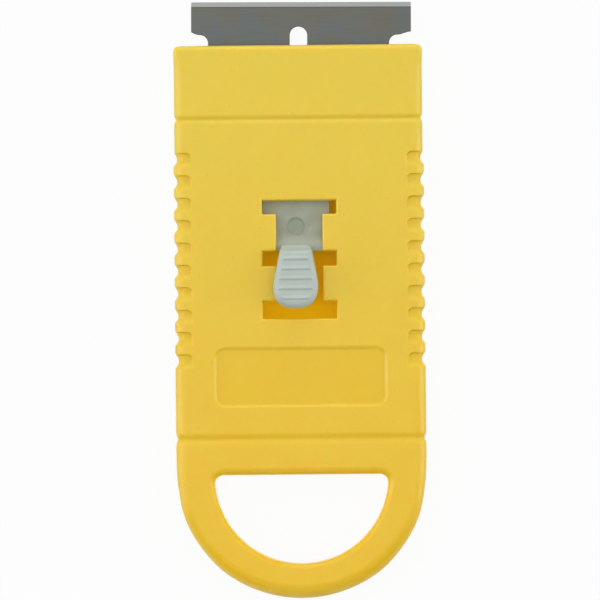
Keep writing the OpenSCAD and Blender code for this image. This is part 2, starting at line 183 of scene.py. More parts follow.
# The tab: a ribbed plate on a neck that stands on the bar
TAB_PROUD = 0.12
TAB_HALF = corner("thumb_tab", 1, 0) - TONGUE_MID + TAB_PROUD
TAB_FRONT = corner("thumb_tab", 1, 1)
TAB_END = corner("thumb_tab", 0, 1) - TAB_PROUD
TAB_ROUND_L = 4.13
TAB_FULLNESS = 2.45
TAB_LEAN = 0.014
TAB_UNDER_Z = THICK + 1.45
TAB_TOP_Z = TAB_UNDER_Z + 1.3
TAB_TAIL_L = 1.7
TAB_TAIL_DROP = 0.35
TAB_SIDE_R = 1.05
TAB_END_R = 0.35
TAB_FOOT_R = 0.4
NECK_HALF = 2.58
NECK_SLANT = 0.15
NECK_SINK = 0.15
NECK_BACK_R = 0.2
NECK_TOP_R = 0.7
NECK_SIDE_R = 0.8
RIB_COUNT = 5
RIB_PITCH = 1.71
RIB_FIRST = 1.25
RIB_CREST = 0.24
RIB_RISE_L = 0.55
RIB_FALL_L = 0.42
RIB_MARGIN = 0.95
RIB_MARGIN_SOFT = (-0.25, 0.2)

# The blade, which lies turned a little in the body
BLADE_X = (corner("blade", 0, 0) + corner("blade", 1, 0)) / 2
BLADE_Z = (corner("blade", 0, 2) + corner("blade", 1, 2)) / 2
BLADE_HALF = corner("blade", 1, 0) - BLADE_X
BLADE_HALF_T = corner("blade", 1, 2) - BLADE_Z
BLADE_BACK = corner("blade", 0, 1)
BLADE_PROUD = 0.1
BLADE_L = corner("blade", 1, 1) - BLADE_BACK + BLADE_PROUD
BLADE_SHIFT = 0.07
BLADE_TURN = math.radians(0.4)
BEVEL_L = 0.8
EDGE_HALF_T = 0.04
EAR_L = 5.15
EAR_ROOT_L = 5.68
LEFT_SLOPE_W = 1.6
RIGHT_SLOPE_W = 2.4
LEFT_EAR_W = 2.92
RIGHT_EAR_W = 3.8
NOTCH_R = 1.4
SLOT_X = -0.45
SLOT_R = 1.5
SLOT_FRONT = 4.26
SLOT_BACK = 16.6
PUNCHED_R = 0.12

COARSE = 1.0


def at(depth):
    return MOUTH_Y - depth


def smooth(low, high, value):
    """0 at low, 1 at high, with a soft start and end."""
    t = np.clip((value - low) / (high - low), 0, 1)
    return t * t * (3 - 2 * t)


def hump(offset, width):
    """1 in the middle of a soft hump, and 0 far from it."""
    return np.exp(-(offset / width) ** 2)


def both(a, b, r):
    """Where both solids are, with the edge between them rounded."""
    return np.minimum(-r, np.maximum(a, b)) + np.hypot(np.maximum(r + a, 0), np.maximum(r + b, 0))


def either(a, b, r):
    """Where either solid is, with the corner between them filled round."""
    return np.maximum(r, np.minimum(a, b)) - np.hypot(np.maximum(r - a, 0), np.maximum(r - b, 0))


def box2(x, y, half_x, half_y, r=0.0):
    """Distance to a rectangle about the origin, negative inside."""
    u = np.abs(x) - half_x + r
    v = np.abs(y) - half_y + r
    return np.minimum(np.maximum(u, v), 0) + np.hypot(np.maximum(u, 0), np.maximum(v, 0)) - r


def outline(x, y):
    """The body seen from the front."""
    top = box2(x, y - MOUTH_Y + HALF_W, HALF_W, HALF_W, MOUTH_R)
    low = np.where(y < LOOP_Y, np.hypot(x, y - LOOP_Y) - HALF_W, np.abs(x) - HALF_W)
    low = low + LOOP_SLIM * hump(y - LOOP_Y + LOOP_SLIM_AT, LOOP_SLIM_W)
    low = low - LOOP_FULL * hump(y - END_Y - LOOP_FULL_AT, LOOP_FULL_W)
    return np.where(y > MOUTH_Y - HALF_W, top, low)


def loop_hole(x, y):
    """The opening of the finger loop seen from the front."""
    r = HOLE_R - HOLE_CORNER_R
    cy = HOLE_Y + HOLE_RISE - HOLE_CORNER_R
    cx = math.sqrt(r * r - (cy - HOLE_Y) ** 2)
    ax = np.abs(x)
    arc = np.hypot(x, y - HOLE_Y) - r
    flat = y - cy
    tip = np.hypot(ax - cx, y - cy)
    on_arc = (y - HOLE_Y) * cx < (cy - HOLE_Y) * ax
    outside = np.where(on_arc, arc, np.where(ax < cx, flat, tip))
    return np.where(np.maximum(arc, flat) < 0, np.maximum(arc, flat), outside) - HOLE_CORNER_R


def grip_depth(x, y, z):
    """How far the grip notches draw the skin in."""
    ax = np.abs(x)
    down = at(GRIP_FIRST) - y
    i = np.clip(np.floor((down + GRIP_LEAD) / GRIP_PITCH), 0, GRIP_COUNT - 1)
    u = down - i * GRIP_PITCH
    v = ax - (HALF_W - GRIP_REACH)
    wall = both(-u, -v, GRIP_CORNER)
    shelf = GRIP_SHELF * (1 - smooth(0, GRIP_SHELF_L, u))
    step = GRIP_STEP * (1 - smooth(GRIP_FLOOR_L, GRIP_STEP_L, u))
    face = (shelf + step) * smooth(-GRIP_WALL_SOFT, GRIP_WALL_SOFT, -wall)
    side = GRIP_SIDE * smooth(GRIP_SIDE_FROM, GRIP_SIDE_TO, u) * (1 - smooth(GRIP_FLOOR_L, GRIP_SIDE_L, u))
    side = side + TOP_DRAW * (1 - smooth(TOP_DRAW_FROM, TOP_DRAW_TO, down))
    qx = np.maximum(ax - HALF_W + SIDE_R, 0) + GRIP_TINY
    qz = np.maximum(np.abs(z - MID_Z) - MID_Z + SIDE_R, 0) + GRIP_TINY
    share = qx * qx / (qx * qx + qz * qz)
    share = np.where(ax < HALF_W - SIDE_R, 0, share)
    return face * (1 - share) + side * share


def label_depth(x, y, z):
    """How deep the label recess is in the front face."""
    edge = box2(x, y - at(LABEL_D + LABEL_H / 2), LABEL_W / 2, LABEL_H / 2, LABEL_R)
    return LABEL_DEPTH * smooth(-LABEL_SOFT, LABEL_SOFT, -edge) * (z > MID_Z)


def skin(x, y, z):
    """The outside of the body before its details."""
    r = SIDE_R + (LOOP_EDGE_R - SIDE_R) * smooth(-LOOP_EDGE_FROM, -LOOP_EDGE_TO, -y)
    r = r + (MOUTH_EDGE_R - r) * smooth(MOUTH_EDGE_FROM, MOUTH_EDGE_TO, y)
    flat = outline(x, y) + r
    high = np.abs(z - MID_Z) - MID_Z + r
    return np.minimum(np.maximum(flat, high), 0) + np.hypot(np.maximum(flat, 0), np.maximum(high, 0)) - r


def body(x, y, z):
    """The outside of the body with its grooves, notches, label recess and finger loop."""
    solid = skin(x, y, z)
    solid = solid + grip_depth(x, y, z) + label_depth(x, y, z)
    for depth, deep, wide in GROOVES:
        solid = solid + deep * hump(y - at(depth), wide)
    rim = RIM_END_R + (RIM_FRONT_R - RIM_END_R) * smooth(RIM_FROM, RIM_TO, y)
    return both(solid, -loop_hole(x, y), rim)


def window(x, y, z):
    """The window that the tab travels in, with sloped walls on the blade's side of its slots."""
    draft = WINDOW_DRAFT * np.clip((z - CEILING_Z) / FRONT_WALL, 0, 1)
    return np.minimum(window_plan(x, y), window_plan(x, y - draft))


def window_plan(x, y):
    """The window seen from the front: a stem and its cross slots."""
    first, last = (at(depth + length / 2) for depth, length in (SLOTS[0], SLOTS[-1]))
    shape = box2(x, y - (first + last) / 2, STEM_HALF, (first - last) / 2)
    for depth, length in SLOTS:
        slot = box2(x, y - at(depth + length / 2), CROSS_HALF, length / 2)
        shape = either(shape, slot, TOOTH_R)
    return shape


def posts(x, y, r):
    """The round posts that join the shells, seen from the front."""
    place = np.hypot(np.abs(x) - (HALF_W - POST_SIDE), y - at(POST_D)) - r
    reach = (HALF_W + HOLE_R) / 2
    for angle in POST_ANGLES:
        px = reach * math.cos(math.radians(angle))
        py = LOOP_Y + reach * math.sin(math.radians(angle))
        place = np.minimum(place, np.hypot(x - px, y - py) - r)
    return place


def front_shell(x, y, z):
    solid = both(body(x, y, z), SEAM_Z + SEAM_GAP - z, SEAM_R)
    solid = both(solid, -window(x, y, z), WINDOW_R)
    hall = np.maximum.reduce([np.abs(x) - CAVITY_HALF, at(CAVITY_L) - y])
    tall = np.maximum.reduce([hall, y - at(LIP_L), z - CEILING_Z])
    hollow = np.minimum(tall, np.maximum(hall, z - LIP_Z))
    solid = both(solid, -hollow, INNER_R)
    for place in RIB_PLACES:
        rib = np.maximum.reduce([
            np.abs(np.abs(x) - place) - RIB_HALF, y - at(RIB_FRONT), at(RIB_REAR) - y,
            RIB_Z - z, z - CEILING_Z - INNER_R])
        solid = np.minimum(solid, rib)
    pin = np.maximum.reduce([posts(x, y, POST_R), SEAM_Z - POST_L - z, z - SEAM_Z - 2 * SEAM_R])
    return np.minimum(solid, pin)


def rear_shell(x, y, z):
    solid = both(body(x, y, z), z - SEAM_Z + SEAM_GAP, SEAM_R)
    hollow = np.maximum.reduce([np.abs(x) - CAVITY_HALF, at(CAVITY_L) - y, REAR_WALL - z])
    solid = both(solid, -hollow, INNER_R)
    socket = np.maximum(posts(x, y, POST_R + POST_GAP), SEAM_Z - POST_L - POST_GAP - z)
    return np.maximum(solid, -socket)


def dimple_edge(x, y):
    """Distance to the dimple's edge, negative inside."""
    return np.hypot(x, y - TONGUE_END - DIMPLE_BACK) - DIMPLE_R


def tongue(x, y, z):
    x = x - TONGUE_MID
    top = ROOT_Z + TONGUE_T / 2
    bottom = ROOT_Z - TONGUE_T / 2
    ramp_run = BAR_L - BAR_TOP_L
    ramp_rise = BAR_TOP_Z - top
    steep = math.hypot(ramp_run, ramp_rise)
    ramp = ((y - TONGUE_END - BAR_L) * ramp_rise + (z - top) * ramp_run) / steep
    bar = both(ramp, z - BAR_TOP_Z, BAR_TOP_R)
    bar = both(bar, y - TONGUE_END - BAR_L - BAR_TAIL_L, BAR_TAIL_R)
    sheet = z - top
    upper = either(bar, sheet, BAR_FOOT_R)
    hole = dimple_edge(x, y)
    dip = DIMPLE_DEPTH * smooth(*DIMPLE_WALL, -hole)
    dip = dip - DIMPLE_RING * hump(hole - DIMPLE_RING_AT, DIMPLE_RING_W)
    upper = upper + np.where(z > ROOT_Z, dip, 0)
    solid = both(upper, bottom - z, TONGUE_UNDER_R)
    solid = both(solid, TONGUE_END - y, TONGUE_END_R)
    solid = np.maximum(solid, y - ROOT_Y)
    root = np.hypot(y - ROOT_Y, z - ROOT_Z) - ROOT_R
    solid = np.minimum(solid, root)
    return both(solid, np.abs(x) - TONGUE_HALF, TONGUE_SIDE_R)


def tab_plan(x, y):
    """The outline of the tab seen from the front."""
    round_y = TAB_END + TAB_ROUND_L
    drop = TAB_FRONT - round_y
    turn = math.asin(TAB_HALF / math.hypot(NECK_HALF, drop)) - math.atan2(NECK_HALF, drop)
    ax = np.abs(x)
    yy = y - round_y
    side = ax * math.cos(turn) + yy * math.sin(turn) - TAB_HALF
    low = np.maximum(-yy, 0) * TAB_HALF / TAB_ROUND_L
    end = (ax ** TAB_FULLNESS + low ** TAB_FULLNESS) ** (1 / TAB_FULLNESS)
    end = np.where(yy > 0, np.hypot(ax, yy), end) - TAB_HALF
    return np.where(yy * math.cos(turn) > ax * math.sin(turn), side, end)


def line(y, z, from_point, to_point):
    """Distance to the right of a line from one point to another, in Y and Z."""
    dy, dz = to_point[0] - from_point[0], to_point[1] - from_point[1]
    return ((y - from_point[0]) * dz - (z - from_point[1]) * dy) / math.hypot(dy, dz)


def tab(x, y, z):
    x = x - TONGUE_MID + TAB_LEAN * (TAB_FRONT - y)
    plan = tab_plan(x, y)
    slope = line(y, z, (TAB_FRONT - NECK_SLANT, THICK), (TONGUE_END - NECK_SLANT, TAB_TOP_Z))
    stand = line(y, z, (TAB_FRONT, BAR_TOP_Z), (TAB_FRONT - NECK_SLANT, THICK))
    neck = both(np.maximum(slope, stand), TONGUE_END - y, NECK_BACK_R)
    neck = both(neck, z - TAB_TOP_Z, NECK_TOP_R)
    neck = both(neck, plan, NECK_SIDE_R)
    neck = np.maximum(neck, BAR_TOP_Z - NECK_SINK - z)
    ridge = 0.0
    for i in range(RIB_COUNT):
        down = TONGUE_END - RIB_FIRST - i * RIB_PITCH - y
        ridge = ridge + smooth(-RIB_RISE_L, 0.0, down) * (1 - smooth(0.0, RIB_FALL_L, down))
    inside = smooth(RIB_MARGIN + RIB_MARGIN_SOFT[0], RIB_MARGIN + RIB_MARGIN_SOFT[1], -plan)
    top = z - TAB_TOP_Z - RIB_CREST * ridge * inside
    tail = smooth(TAB_TAIL_L, 0, y - TAB_END)
    top = top + TAB_TAIL_DROP * tail * tail
    plate = both(top, plan, TAB_SIDE_R)
    plate = both(plate, np.maximum(slope, TAB_UNDER_Z - z), TAB_END_R)
    return either(neck, plate, TAB_FOOT_R)


def blade_place(x, y):
    """A point's distance from the blade's middle line and behind its edge."""
    dx = x - BLADE_X + BLADE_SHIFT
    dy = y - BLADE_BACK
    across = math.cos(BLADE_TURN) * dx - math.sin(BLADE_TURN) * dy
    return across, BLADE_L - math.sin(BLADE_TURN) * dx - math.cos(BLADE_TURN) * dy


def blade(x, y, z):
    across, behind = blade_place(x, y)
    inward = BLADE_HALF - np.abs(across)
    ear_w = np.where(across > 0, RIGHT_EAR_W, LEFT_EAR_W)
    left = np.clip(inward / LEFT_SLOPE_W, 0, 1)
    slope = np.where(across > 0, smooth(0, RIGHT_SLOPE_W, inward), left * (2 - left))
    ear_l = EAR_L + (EAR_ROOT_L - EAR_L) * slope
    notch = both(ear_l - behind, inward - ear_w, NOTCH_R)
    round_at = SLOT_FRONT + SLOT_R
    slot = np.abs(across - SLOT_X) - SLOT_R
    slot = np.where(behind < round_at, np.hypot(across - SLOT_X, behind - round_at) - SLOT_R, slot)
    slot = np.maximum(slot, behind - SLOT_BACK)
    plan = np.maximum.reduce([-inward, behind - BLADE_L, -notch, -slot])
    half_t = EDGE_HALF_T + (BLADE_HALF_T - EDGE_HALF_T) * np.clip(behind / BEVEL_L, 0, 1)
    solid = both(plan, np.abs(z - BLADE_Z) - half_t, PUNCHED_R)
    return both(solid, -behind, EDGE_HALF_T)


def grid_lines(*stretches):
    """Lines of a grid, from stretches that each give a start and a wanted step. The last one only ends it."""
    parts = []
    for (start, step), (end, _) in zip(stretches[:-1], stretches[1:]):
        count = max(1, round(abs(end - start) / (step * COARSE)))
        parts.append(np.linspace(start, end, count, endpoint=False))
    return np.concatenate([*parts, [stretches[-1][0]]])


# A slope's square and a length aren't taken as less than these, so that no step is divided by zero.
LEAST_SLOPE_SQUARE = 0.04
LEAST_LENGTH = 1e-9


def gradient(field, points, step=0.004):
    """The field's slope at each point."""
    slopes = np.empty_like(points)
    for axis in range(3):
        ahead, behind = points.copy(), points.copy()
        ahead[:, axis] += step
        behind[:, axis] -= step
        slopes[:, axis] = field(*ahead.T) - field(*behind.T)
    return slopes / (2 * step)


def settle(field, points, rounds, reach):
    """Moves points onto the surface of the field, at most so far at each round."""
    for _ in range(rounds):
        slope = gradient(field, points)
        steep = np.maximum((slope ** 2).sum(1), LEAST_SLOPE_SQUARE)
        step = slope * (field(*points.T) / steep)[:, None]
        length = np.linalg.norm(step, axis=1)[:, None]
        points = points - step * np.minimum(1, reach / np.maximum(length, LEAST_LENGTH))
    return points


def surface_net(field, axes):
    """A quad mesh of the field's zero surface: its points and faces."""
    xs, ys, zs = (a.astype(np.float32) for a in axes)
    values = np.empty((len(xs), len(ys), len(zs)), np.float32)
    slab = 40
    for start in range(0, len(ys), slab):
        part = slice(start, start + slab)
        gx, gy, gz = np.meshgrid(xs, ys[part], zs, indexing="ij")
        values[:, part] = field(gx, gy, gz)
    inside = values < 0
    shape = tuple(n - 1 for n in values.shape)
    rings, spots = [], []
    for axis in range(3):
        low = [slice(None)] * 3
        high = [slice(None)] * 3
        low[axis] = slice(None, -1)
        high[axis] = slice(1, None)
        first = np.argwhere(inside[tuple(low)] != inside[tuple(high)])
        second = first.copy()
        second[:, axis] += 1
        a, b = values[tuple(first.T)], values[tuple(second.T)]
        spot = np.stack([axes[k][first[:, k]] for k in range(3)], 1)
        spot[:, axis] += a / (a - b) * (axes[axis][second[:, axis]] - spot[:, axis])
        u, v = (axis + 1) % 3, (axis + 2) % 3
        ring = []
        for du, dv in ((-1, -1), (0, -1), (0, 0), (-1, 0)):
            cell = first.copy()
            cell[:, u] += du
            cell[:, v] += dv
            ring.append(np.ravel_multi_index(cell.T, shape))
        ring = np.stack(ring, 1)
        ring[a >= 0] = ring[a >= 0][:, ::-1]
        rings.append(ring)
        spots.append(spot)
    rings = np.concatenate(rings)
    spots = np.concatenate(spots)
    cells, faces = np.unique(rings, return_inverse=True)
    faces = faces.reshape(-1, 4)
    count = np.bincount(faces.ravel(), minlength=len(cells))
    points = np.stack([
        np.bincount(faces.ravel(), np.repeat(spots[:, k], 4), len(cells)) / count for k in range(3)], 1)
    return points, faces


def mesh_object(name, points, faces):
    mesh = bpy.data.meshes.new(name)
    mesh.from_pydata(points * MM, [], faces)
    made = bpy.data.objects.new(name, mesh)
    bpy.context.scene.collection.objects.link(made)
    return made


def thin_out(made, share):
    """Takes faces away where the surface is flat."""
    cut = made.modifiers.new("thin", "DECIMATE")
    cut.ratio = share
    cut.use_collapse_triangulate = True
    graph = bpy.context.evaluated_depsgraph_get()
    mesh = bpy.data.meshes.new_from_object(made.evaluated_get(graph))
    made.modifiers.clear()
    old = made.data
    made.data = mesh
    bpy.data.meshes.remove(old)
    mesh.name = made.name


MEASURE = "measure"


def moulded(name, field, axes, faces_wanted, measure):
    """A piece from its field, with soft edges, even shading and a measure for its material at each point."""
    points, faces = surface_net(field, axes)
    points = settle(field, points, rounds=4, reach=0.15)
    made = mesh_object(name, points, faces)
    thin_out(made, min(1.0, faces_wanted / (2 * len(faces))))
    mesh = made.data
    place = np.empty(len(mesh.vertices) * 3)
    mesh.vertices.foreach_get("co", place)
    place = settle(field, place.reshape(-1, 3) / MM, rounds=2, reach=0.05)
    mesh.vertices.foreach_set("co", (place * MM).ravel())
    normal = gradient(field, place, step=0.02)
    normal /= np.maximum(np.linalg.norm(normal, axis=1), LEAST_LENGTH)[:, None]
    mesh.shade_smooth()
    mesh.update()
    mesh.normals_split_custom_set_from_vertices(normal)
    measured = mesh.attributes.new(MEASURE, "FLOAT", "POINT")
    measured.data.foreach_set("value", measure(*place.T))
    return made


def under_skin(x, y, z):
    """How deep a point lies under the body's plain skin."""
    return -skin(x, y, z)


def behind_edge(x, y, z):
    """How far a point lies behind the blade's edge."""
    return blade_place(x, y)[1]


def in_dimple(x, y, z):
    """1 in the tongue's dimple, and 0 outside it."""
    return smooth(*DIMPLE_SHADE_SPREAD, -dimple_edge(x - TONGUE_MID, y))


def mirrored(*stretches):
    """Lines of a grid on both sides of its middle."""
    half = grid_lines(*stretches)
    return np.concatenate([-half[:0:-1], half])


def grip_lines():
    """Grid lines along the body that are close together at each notch's steep wall."""
    wall_half = 0.3
    fine = 0.1
    plain = 0.22
    parts = []
    for i in range(GRIP_COUNT - 1, -1, -1):
        wall = at(GRIP_FIRST + i * GRIP_PITCH)
        low = wall - GRIP_PITCH + GRIP_LEAD
        high = wall + GRIP_LEAD
        lines = grid_lines((low, plain), (wall - wall_half, fine), (wall + wall_half, plain), (high, 0))
        parts.append(lines[:-1])
    return np.concatenate(parts)


def shell_axes(z_lines):
    """The grid of a shell, close where its loop, window, notches, grooves and edges are."""
    xs = mirrored(
        (0, 0.45), (3.5, 0.1), (4.4, 0.4), (6.0, 0.1), (6.8, 0.4), (8.3, 0.2), (9.7, 0.4), (13.2, 0.22),
        (17.3, 0.2), (18.3, 0.14), (22.0, 0))
    grips = grip_lines()
    ys = np.concatenate([
        grid_lines(
            (-52.0, 0.2), (-28.4, 0.5), (-24.7, 0.1), (-23.0, 0.5), (-18.9, 0.12), (-18.0, 0.5),
            (grips[0], 0))[:-1],
        grips,
        grid_lines(
            (at(GRIP_FIRST) + GRIP_LEAD, 0.6), (30.7, 0.1), (32.4, 0.6), (38.0, 0.3), (42.7, 0.12),
            (44.5, 0))])
    return xs, ys, z_lines


FRONT_Z = grid_lines(
    (1.5, 0.4), (3.3, 0.07), (3.8, 0.25), (4.2, 0.12), (4.75, 0.25), (5.25, 0.1), (5.65, 0.2), (5.9, 0.14),
    (6.3, 0.1), (7.2, 0))
REAR_Z = grid_lines((-0.2, 0.1), (0.9, 0.2), (1.45, 0.12), (1.9, 0.3), (3.2, 0.07), (3.7, 0))
SHELL_FACES = 90000 / COARSE
TONGUE_FACES = 16000 / COARSE
TAB_FACES = 24000 / COARSE
BLADE_FACES = 40000 / COARSE

shells = {}
for name, field, z_lines in (
        ("front_shell", front_shell, FRONT_Z),
        ("rear_shell", rear_shell, REAR_Z)):
    shell = moulded(name + "_moulded", field, shell_axes(z_lines), SHELL_FACES, under_skin)
    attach(shell, "housing")
    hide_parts(name)
    shells[name] = shell

TONGUE_AXES = (
    TONGUE_MID + mirrored((0, 0.1), (2.1, 0.3), (5.6, 0.08), (6.1, 0)),
    grid_lines((TONGUE_END - 0.3, 0.08), (TONGUE_END + 6.2, 0.4), (ROOT_Y - 1, 0.12), (ROOT_Y + 1, 0)),
    grid_lines((2.9, 0.08), (5.5, 0)))
tongue_piece = moulded("spring_tongue_moulded", tongue, TONGUE_AXES, TONGUE_FACES, in_dimple)
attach(tongue_piece, "thumb_lever")
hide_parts("spring_tongue")

TAB_AXES = (
    TONGUE_MID + mirrored((0, 0.12), (2.2, 0.09), (4.3, 0)),
    grid_lines((TAB_END - 0.2, 0.07), (TAB_FRONT + 0.2, 0)),
    grid_lines((5.0, 0.12), (7.9, 0.09), (9.4, 0.07), (10.2, 0)))
tab_piece = moulded("thumb_tab_moulded", tab, TAB_AXES, TAB_FACES, in_dimple)
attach(tab_piece, "thumb_lever")
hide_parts("thumb_tab")

BLADE_AXES = (
    grid_lines((BLADE_X - BLADE_HALF - 0.4, 0.1), (BLADE_X + BLADE_HALF + 0.4, 0)),
    grid_lines(
        (BLADE_BACK - 0.3, 0.3), (BLADE_BACK + 8, 0.1), (BLADE_BACK + BLADE_L - 1.1, 0.035),
        (BLADE_BACK + BLADE_L + 0.3, 0)),
    grid_lines((BLADE_Z - 0.2, 0.025), (BLADE_Z + 0.2, 0)))
blade_piece = moulded("blade_ground", blade, BLADE_AXES, BLADE_FACES, behind_edge)
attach(blade_piece, "carriage")
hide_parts("blade")


def linear(red, green, blue):
    """A linear colour from 0 to 255 screen values."""
    out = []
    for value in (red, green, blue):
        v = value / 255
        out.append(v / 12.92 if v <= 0.04045 else ((v + 0.055) / 1.055) ** 2.4)
    return (*out, 1.0)


PLASTIC_IOR = 1.5

# The body's yellow, and how far light runs inside it
YELLOW_AT_LOOP = linear(230, 191, 24)
YELLOW_AT_MOUTH = linear(225, 200, 59)
YELLOW_CLOUD = linear(232, 200, 54)
YELLOW_FLECK = linear(176, 148, 40)
# Painted shade: the deeper yellow of grooves, notches and the label recess
YELLOW_PAINTED_RECESS_SHADE = linear(224, 182, 12)
# Painted light: the orange that light let through the plastic gives the inside of the shells
YELLOW_DEEP_PAINTED_GLOW = linear(240, 184, 16)
YELLOW_RADIUS = (1.0, 0.5, 0.1)
YELLOW_RADIUS_MM = 0.5

# The light that the real plastic lets through into the cavity, under the blade carrier and behind it
GLOW_NEAR = (1.0, 0.76, 0.0, 1.0)
GLOW_NEAR_LEVEL = 0.104
GLOW_FAR = (1.0, 0.99, 0.0, 1.0)
GLOW_FAR_LEVEL = 0.13
GLOW_FAR_FROM = at(45.5)
GLOW_FAR_TO = at(42.5)
GLOW_RIGHT_LEVEL = 0.9
GLOW_RIGHT_FROM = 0.5
GLOW_RIGHT_TO = 6.5

# The greys of the carrier, the tongue and the tab. The carrier and the tongue are of the tab's plastic, and
# their darker greys are painted shade.
CARRIER_SHADED_GREY = linear(159, 169, 155)
CARRIER_SHADED_DULL = linear(151, 152, 133)
# Painted highlight: the tongue's bar turns paler
BAR_PAINTED_HIGHLIGHT = linear(167, 175, 161)
BAR_PAINTED_HIGHLIGHT_FROM = TONGUE_END + BAR_L + 0.4
BAR_PAINTED_HIGHLIGHT_TO = TONGUE_END + BAR_L - 0.6
# Painted shade: the tongue's dimple is darker and greener
DIMPLE_PAINTED_SHADE = linear(142, 154, 140)
TAB_GREY = linear(173, 185, 178)
TAB_DULL = linear(168, 179, 172)
# Painted highlight: the tab's neck turns paler toward its front
TAB_FOOT_PAINTED_HIGHLIGHT = linear(188, 199, 189)
TAB_FOOT_HIGHLIGHT_FROM = TAB_FRONT - 1.2
TAB_FOOT_HIGHLIGHT_TO = TAB_FRONT - 0.2

# The steels of the blade and its spine
BLADE_GREY = linear(102, 103, 97)
BLADE_BROWN = linear(105, 98, 89)
BLADE_BLUE = linear(92, 104, 108)
BLADE_STREAK = linear(122, 125, 122)
BEVEL_LINE = linear(92, 90, 84)
BEVEL_LINE_L = 0.3
BEVEL_GREY = linear(153, 157, 154)
BEVEL_SOFT = 0.02
SPINE_LIGHT = linear(176, 180, 182)
SPINE_DARK = linear(160, 163, 164)


class Tree:
    """Short calls for building a node tree."""

    def __init__(self, tree):
        self.tree = tree

    def add(self, kind, inputs=None, **settings):
        node = self.tree.nodes.new(kind)
        for key, value in settings.items():
            setattr(node, key, value)
        for key, value in (inputs or {}).items():
            self.put(node.inputs[key], value)
        return node

    def put(self, socket, value):
        if isinstance(value, bpy.types.NodeSocket):
            self.tree.links.new(value, socket)
        else:
            socket.default_value = value

    def spread(self, value, from_low, from_high, to_low=0.0, to_high=1.0):
        """Turns one range of a value softly into another."""
        node = self.add("ShaderNodeMapRange", {
            "Value": value, "From Min": from_low, "From Max": from_high, "To Min": to_low, "To Max": to_high},
            interpolation_type="SMOOTHSTEP")
        return node.outputs["Result"]

    def math(self, operation, first, second=0.0):
        node = self.add("ShaderNodeMath", {0: first, 1: second}, operation=operation)
        return node.outputs[0]

    def times(self, first, second):
        return self.math("MULTIPLY", first, second)


class Nodes(Tree):
    """A material with a Principled shader."""

    def __init__(self, name):
        self.material = bpy.data.materials.new(name)
        self.material.use_nodes = True
        super().__init__(self.material.node_tree)
        self.shader = self.tree.nodes["Principled BSDF"]
        self.place = self.add("ShaderNodeTexCoord").outputs["Object"]

    def measure(self):
        """What moulded() measured at each point of the mesh."""
        return self.add("ShaderNodeAttribute", attribute_name=MEASURE).outputs["Fac"]

    def noise(self, scale, detail=2.0, stretch=(1, 1, 1)):
        """Noise whose grain is so many millimetres, stretched along each axis."""
        scales = [1 / (scale * MM * s) for s in stretch]
        scaled = self.add("ShaderNodeVectorMath", {0: self.place, 1: scales}, operation="MULTIPLY").outputs[0]
        node = self.add("ShaderNodeTexNoise", {"Vector": scaled, "Scale": 1.0, "Detail": detail})
        return node.outputs["Fac"]

    def mix(self, share, first, second):
        node = self.add("ShaderNodeMix", data_type="RGBA")
        self.put(node.inputs["Factor"], share)
        self.put(node.inputs[6], first)
        self.put(node.inputs[7], second)
        return node.outputs[2]

    def axis(self, name):
        return self.add("ShaderNodeSeparateXYZ", {0: self.place}).outputs[name]

    def bump(self, height, distance, strength, normal=None):
        """A bump that is so many millimetres high, on top of another one."""
        inputs = {"Height": height, "Distance": distance * MM, "Strength": strength}
        if normal is not None:
            inputs["Normal"] = normal
        return self.add("ShaderNodeBump", inputs).outputs[0]


def yellow_plastic(name):
    """Yellow plastic, cloudy and flecked. The further it lies under the skin, the deeper in colour and duller
    it is: painted shade in recesses, and painted light inside the shells, which also glow.
    """
    m = Nodes(name)
    along = m.spread(m.axis("Y"), END_Y * MM, MOUTH_Y * MM)
    base = m.mix(along, YELLOW_AT_LOOP, YELLOW_AT_MOUTH)
    cloud = m.spread(m.noise(7.0, 3.0), 0.35, 0.65)
    base = m.mix(m.times(cloud, 0.3), base, YELLOW_CLOUD)
    fleck = m.spread(m.noise(0.42, 1.0), 0.735, 0.79)
    base = m.mix(m.times(fleck, 0.3), base, YELLOW_FLECK)
    depth = m.measure()
    # Painted shade: grooves, notches and the label recess turn deeper in colour.
    recess = m.spread(depth, 0.12, 0.5)
    base = m.mix(m.times(recess, 0.35), base, YELLOW_PAINTED_RECESS_SHADE)
    # Painted light: inside the shells the yellow turns to a glowing orange.
    deep = m.spread(depth, 0.5, 1.5)
    base = m.mix(deep, base, YELLOW_DEEP_PAINTED_GLOW)
    m.put(m.shader.inputs["Base Color"], base)
    m.put(m.shader.inputs["Roughness"], m.spread(m.noise(3.0, 4.0), 0.3, 0.7, 0.3, 0.4))
    m.put(m.shader.inputs["IOR"], PLASTIC_IOR)
    # Painted shade on reflections: less gloss in recesses, and hardly any inside the shells.
    gloss = m.times(m.spread(recess, 0.0, 1.0, 0.5, 0.36), m.spread(deep, 0.0, 1.0, 1.0, 0.12))
    m.put(m.shader.inputs["Specular IOR Level"], gloss)
    m.put(m.shader.inputs["Subsurface Weight"], 1.0)
    m.put(m.shader.inputs["Subsurface Radius"], YELLOW_RADIUS)
    m.put(m.shader.inputs["Subsurface Scale"], YELLOW_RADIUS_MM * MM)
    far = m.spread(m.axis("Y"), GLOW_FAR_FROM * MM, GLOW_FAR_TO * MM, 1.0, 0.0)
    m.put(m.shader.inputs["Emission Color"], m.mix(far, GLOW_NEAR, GLOW_FAR))
    glow = m.spread(far, 0.0, 1.0, GLOW_NEAR_LEVEL, GLOW_FAR_LEVEL)
    right = m.spread(m.axis("X"), GLOW_RIGHT_FROM * MM, GLOW_RIGHT_TO * MM, 1.0, GLOW_RIGHT_LEVEL)
    inner = m.spread(depth, 0.4, 1.0)
    m.put(m.shader.inputs["Emission Strength"], m.times(inner, m.times(glow, right)))
    wave = m.bump(m.noise(9.0, 2.0), 0.05, 0.5)
    grain = m.bump(m.noise(0.22, 2.0), 0.006, 0.6, wave)
    m.put(m.shader.inputs["Normal"], grain)
    return m.material


